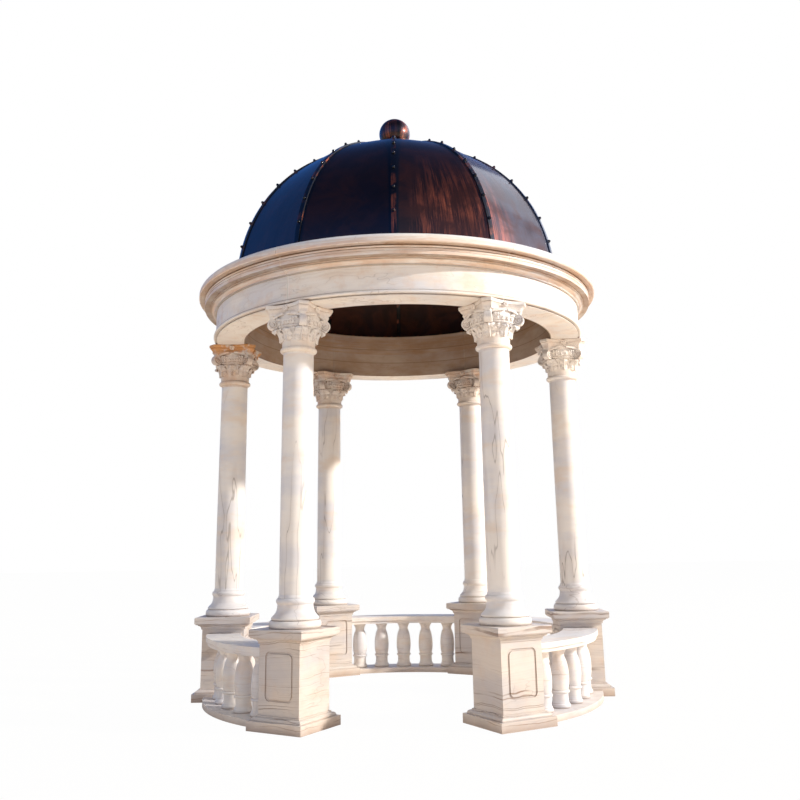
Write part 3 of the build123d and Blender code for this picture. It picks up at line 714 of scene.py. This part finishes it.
def leafSheet(kind):
    # v runs from the leaf's foot to its tip, and u from edge to edge
    look, form = leafKinds[kind], leafForm
    sheet = []
    for v, radius, z in leafSpine(kind):
        body = form["narrow"] + form["swell"] * math.sin(math.pi / 2 * min(v / form["broadest"], 1.0))
        body -= form["taper"] * max(0.0, (v - form["broadest"]) / (1 - form["broadest"])) ** 1.6
        teeth = abs(math.sin(math.pi * look["lobes"] * v)) ** 0.7
        half = look["half"] * body * (1 - form["notch"] + form["notch"] * teeth)
        row = []
        for u in np.linspace(-1, 1, look["columns"]):
            # a midrib between two channels, flutes that fan out to the lobes, and a cupped middle
            rib = math.exp(-(u / form["rib"]) ** 2)
            rib -= form["channelDeep"] * math.exp(-((abs(u) - form["channelAt"]) / form["channelWide"]) ** 2)
            flute = math.cos(2 * math.pi * look["lobes"] * (v - form["fan"] * abs(u)) + math.pi)
            flute *= min(1.0, abs(u) * 1.6) * math.sin(math.pi * min(v * 1.1, 1))
            cup = form["cup"] * (1 - abs(u) ** 2.2)
            wide = radius + look["relief"] * (rib + form["fluteDeep"] * flute + cup)
            turn = u * half / radius
            row.append((wide * math.cos(turn), wide * math.sin(turn),
                        z - form["droop"] * look["half"] * u * u * v))
        sheet.append(row)
    return sheet


eggs = {"count": 24, "radius": 0.194, "level": 0.270, "size": (0.0095, 0.0115, 0.0185),
        "cornerGap": 12,  # degrees on each side of a corner with no egg, behind the scrolls
        "shellSide": 0.0185, "shellDrop": 0.0250, "shellLift": 0.010, "shellOut": 0.0015,
        "rimAcross": 0.0034, "rimOut": 0.0040}


def addEggs(shells):
    radius, level = eggs["radius"], eggs["level"]
    for egg in range(eggs["count"]):
        turn = 2 * math.pi * (egg + 0.5) / eggs["count"]
        if abs((math.degrees(turn) % 90) - 45) < eggs["cornerGap"]:
            continue
        shells.ball((radius * math.cos(turn), radius * math.sin(turn), level), eggs["size"], 8, turn)
        # the rim of the shell around each egg
        rows = []
        for bend in [math.pi * (1.0 + k / 14) for k in range(15)]:
            side, drop = eggs["shellSide"] * math.cos(bend), eggs["shellDrop"] * math.sin(bend)
            ring = []
            for a in np.linspace(0, 2 * math.pi, 6, endpoint=False):
                off = 1 + eggs["rimAcross"] * math.cos(a) / eggs["shellSide"]
                local = Vector((radius + eggs["shellOut"] + eggs["rimOut"] * math.sin(a), side * off,
                                level + eggs["shellLift"] + drop * off))
                ring.append(tuple(Matrix.Rotation(turn, 3, "Z") @ local))
            rows.append(ring)
        shells.capped(rows)


husks = {
    "start": 41, "sweep": 35,  # bearing at the scroll, and how far the band runs towards the rosette
    "radius": 0.226, "draw": 0.026, "level": 0.322, "arch": 0.020,
    "depth": 0.0125, "high": 0.0150, "taper": 0.004,
    "groove": 0.22, "grooveFrom": 0.86,  # how deep it is, and the cosine at which it starts
    "leafRadius": 0.204, "leafStep": 0.003, "leafDeep": 0.008, "leafWide": 0.55, "leafHigh": 0.60,
    "leaves": ((30, 0.306, 0.026), (23, 0.301, 0.022), (17, 0.297, 0.017)),  # bearing, height and size
}


def addHusks(shells):
    # a fluted band that runs from each scroll to the rosette, with small leaves over the eggs
    for side in (1, -1):
        rows = []
        for share in np.linspace(0, 1, 22):
            bearing = math.radians(husks["start"] - husks["sweep"] * share) * side
            middle = husks["radius"] - husks["draw"] * share ** 0.7
            level = husks["level"] + husks["arch"] * math.sin(math.pi * 0.5 * share)
            high = husks["high"] - husks["taper"] * share
            ring = []
            for turn in np.linspace(0, 2 * math.pi, 16, endpoint=False):
                groove = 1 - husks["groove"] * (math.cos(turn) > husks["grooveFrom"])
                radius = middle + husks["depth"] * math.cos(turn) * groove
                ring.append((radius * math.cos(bearing), radius * math.sin(bearing),
                             level + high * math.sin(turn)))
            rows.append(ring)
        shells.capped(rows)
        for lobe, (turn, level, size) in enumerate(husks["leaves"]):
            bearing = math.radians(turn) * side
            radius = husks["leafRadius"] - husks["leafStep"] * lobe
            shells.ball((radius * math.cos(bearing), radius * math.sin(bearing), level),
                        (husks["leafDeep"], size * husks["leafWide"], size * husks["leafHigh"]), 9, bearing)


# thickness of each kind of leaf, and how far a stalk leaf stands from the middle of a side, in degrees
leafThickness = {"corner": 0.007, "face": 0.006, "stalk": 0.006}
stalkTurn = 22


def carvedCapital():
    whole = Shells()
    whole.turned(bellProfile())
    addAbacus(whole)
    addEggs(whole)
    parts = {}
    for kind, thickness in leafThickness.items():
        parts[kind] = Shells()
        if kind == "corner":
            addScroll(parts[kind])
        parts[kind].leaf(leafSheet(kind), thickness)
    addRosette(parts["face"])
    addHusks(parts["face"])
    for turn in range(4):
        whole.turnedCopy(parts["corner"], 45 + 90 * turn)
        whole.turnedCopy(parts["face"], 90 * turn)
        for side in (-1, 1):
            whole.turnedCopy(parts["stalk"], 90 * turn + stalkTurn * side)
    return whole.mesh("carved_capital", marbles["capital"])


capitalWear = {"left": "rustCapital", "back_left": "agedCapital", "back_right": "agedCapital"}
capitalMesh = carvedCapital()
for name, bearing in plan["columnAngles"].items():
    spot = polar(plan["columnRing"], bearing, capitalFoot)
    piece = placed("carved_capital_" + name, capitalMesh, spot, bearing)
    piece.material_slots[0].link = "OBJECT"
    piece.material_slots[0].material = marbles[capitalWear.get(name, "capital")]
    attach(piece, "root")
    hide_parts("capital_" + name)
print("capitals carved,", len(capitalMesh.polygons), "faces each")


# Rivets along every seam of the dome: a round washer and a domed head
studs = {
    "first": 4.4, "step": 8.75, "rows": 9,  # degrees up the dome's curve
    "seamRadius": 1.767,
    "washer": 0.022, "sunk": -0.004, "washerTop": 0.002,
    "halfWidth": 0.015, "headFoot": 0.003, "height": 0.020, "tip": 0.001, "steps": 14,
}


def studProfile():
    profile = [(studs["washer"], studs["sunk"]), (studs["washer"], studs["washerTop"]),
               (studs["halfWidth"], studs["headFoot"])]
    for k in range(1, 6):
        bend = math.pi / 2 * k / 6
        profile.append((studs["halfWidth"] * math.cos(bend),
                        studs["headFoot"] + studs["height"] * math.sin(bend)))
    return profile + [(studs["tip"], studs["headFoot"] + studs["height"])]


def studRows():
    shells = Shells()
    for seam in range(plan["gores"]):
        for row in range(studs["rows"]):
            rise = math.radians(studs["first"] + studs["step"] * row)
            one = Shells()
            one.turned(studProfile(), studs["steps"])
            lean = np.array(Matrix.Rotation(math.pi / 2 - rise, 3, "Y"))
            spot = np.array([studs["seamRadius"] * math.cos(rise), 0,
                             dome["centre"] + studs["seamRadius"] * math.sin(rise)])
            one.points = [block @ lean.T + spot for block in one.points]
            shells.turnedCopy(one, 360 / plan["gores"] * seam)
    return placed("dome_studs", shells.mesh("dome_studs", coppers["stud"]))


domeStuds = studRows()
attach(domeStuds, "root")
print("studs set")

# Floor and soft studio light
floorLook = {
    "half": 60.0, "warm": tone(238, 220, 198),
    "white": 0.985,  # how much of the floor the camera sees as plain white; the rest takes the shadow
    "bounce": (1.0, 0.90, 0.82, 1.0), "lift": 0.24,  # warm light that it throws back up
}
plainWhite = (1, 1, 1, 1)


def paleFloor():
    half = floorLook["half"]
    corners = [(-half, -half, 0), (half, -half, 0), (half, half, 0), (-half, half, 0)]
    mesh = bpy.data.meshes.new("floor")
    mesh.from_pydata(corners, [], [(0, 1, 2, 3)])
    f = Finish("pale_floor")
    seen = f.node("LightPath", out="Is Camera Ray")
    soft = f.node("LightPath", out="Is Diffuse Ray")
    matt = f.node("BsdfDiffuse", {}, {"Color": floorLook["warm"]})
    warmth = f.node("Emission", {}, {"Color": floorLook["bounce"], "Strength": soft * floorLook["lift"]})
    ground = f.node("AddShader", {}, {0: matt, 1: warmth})
    glow = f.node("Emission", {}, {"Color": plainWhite, "Strength": 1.0})
    mixed = f.node("MixShader", {}, {0: seen * floorLook["white"], 1: ground, 2: glow})
    f.node("OutputMaterial", {}, {"Surface": mixed})
    mesh.materials.append(f.owner)
    made = placed("floor", mesh)


# what lights the stone, and the sky that only the copper mirrors: strong blue on the left, paler on the
# right, greyer near the ground and dark overhead
studioLook = {
    "fill": (0.86, 0.90, 1.0, 1.0), "fillStrength": 0.50, "skyStrength": 0.9,
    "left": (0.05, 0.26, 0.90, 1.0), "right": (0.46, 0.62, 0.95, 1.0),
    "low": (0.30, 0.44, 0.70, 1.0), "overhead": (0.02, 0.045, 0.14, 1.0),
    "sideways": (-0.3, 0.95), "lowBand": (-0.05, 0.30), "highBand": (0.30, 0.95),
}


def softWorld():
    world = bpy.data.worlds.new("studio")
    bpy.context.scene.world = world
    f = Finish("studio", world)
    seen = f.node("LightPath", out="Is Camera Ray")
    mirrored = f.node("LightPath", out="Is Glossy Ray")
    across, _, up = f.split(f.node("TexCoord", out="Generated"))
    skyTone = f.blend(f.between(across, *studioLook["sideways"]), studioLook["left"], studioLook["right"])
    skyTone = f.blend(f.between(up, *studioLook["lowBand"]), studioLook["low"], skyTone)
    skyTone = f.blend(f.between(up, *studioLook["highBand"]), skyTone, studioLook["overhead"])
    fill = f.node("Background", {}, {"Color": studioLook["fill"], "Strength": studioLook["fillStrength"]})
    sheen = f.node("Background", {}, {"Color": skyTone, "Strength": studioLook["skyStrength"]})
    white = f.node("Background", {}, {"Color": plainWhite, "Strength": 1.0})
    lit = f.node("MixShader", {}, {0: mirrored, 1: fill, 2: sheen})
    mixed = f.node("MixShader", {}, {0: seen, 1: lit, 2: white})
    f.node("OutputWorld", {}, {"Surface": mixed})


# a low sun from the right, a cool light behind and a faint one on the left; angles in degrees, power in watts
lamps = {
    "key": {"azimuth": 347, "elevation": 24, "distance": 30.0, "size": 1.2, "power": 11600,
            "colour": (1.0, 0.95, 0.88)},
    "rear": {"azimuth": 40, "elevation": 44, "distance": 14.0, "size": 7.0, "power": 160,
             "colour": (0.92, 0.95, 1.0)},
    "side": {"azimuth": 235, "elevation": 20, "distance": 14.0, "size": 8.0, "power": 30,
             "colour": (0.90, 0.93, 1.0)},
}
lampAim = Vector((0, 0, 2.2))


def hangLamp(name, lamp):
    light = bpy.data.lights.new(name, "AREA")
    light.shape = "DISK"
    light.size = lamp["size"]
    light.energy = lamp["power"]
    light.color = lamp["colour"]
    made = placed(name, light)
    elevation = math.radians(lamp["elevation"])
    flat, rise = lamp["distance"] * math.cos(elevation), lamp["distance"] * math.sin(elevation)
    made.location = lampAim + polar(flat, lamp["azimuth"], rise)
    made.rotation_mode = "QUATERNION"
    made.rotation_quaternion = (made.location - lampAim).to_track_quat("Z", "Y")


paleFloor()
softWorld()
for name, lamp in lamps.items():
    hangLamp(name, lamp)
print("light set")

# Camera low in front of the entry, tilted up a little; metres, degrees and the lens in millimetres
view = {"spot": (0.0841, -8.6832, 1.3583), "yaw": 0.2566, "pitch": 13.5187, "roll": -0.9411,
        "lens": 38.247, "filmWidth": 36, "shift": (-0.0025, -0.0696)}


def setCamera():
    yaw, pitch, roll = (math.radians(view[key]) for key in ("yaw", "pitch", "roll"))
    ahead = Vector((-math.sin(yaw) * math.cos(pitch), math.cos(yaw) * math.cos(pitch), math.sin(pitch)))
    level = Vector((math.cos(yaw), math.sin(yaw), 0))
    upright = level.cross(ahead)
    right = level * math.cos(roll) + upright * math.sin(roll)
    top = upright * math.cos(roll) - level * math.sin(roll)
    camera = bpy.data.cameras.new("viewpoint")
    camera.lens = view["lens"]
    camera.sensor_width = view["filmWidth"]
    camera.shift_x, camera.shift_y = view["shift"]
    made = placed("viewpoint", camera)
    turn = Matrix((right, top, -ahead)).transposed().to_4x4()
    made.matrix_world = Matrix.Translation(view["spot"]) @ turn
    bpy.context.scene.camera = made


setCamera()
bpy.context.scene.view_settings.view_transform = "Standard"
print("scene ready")
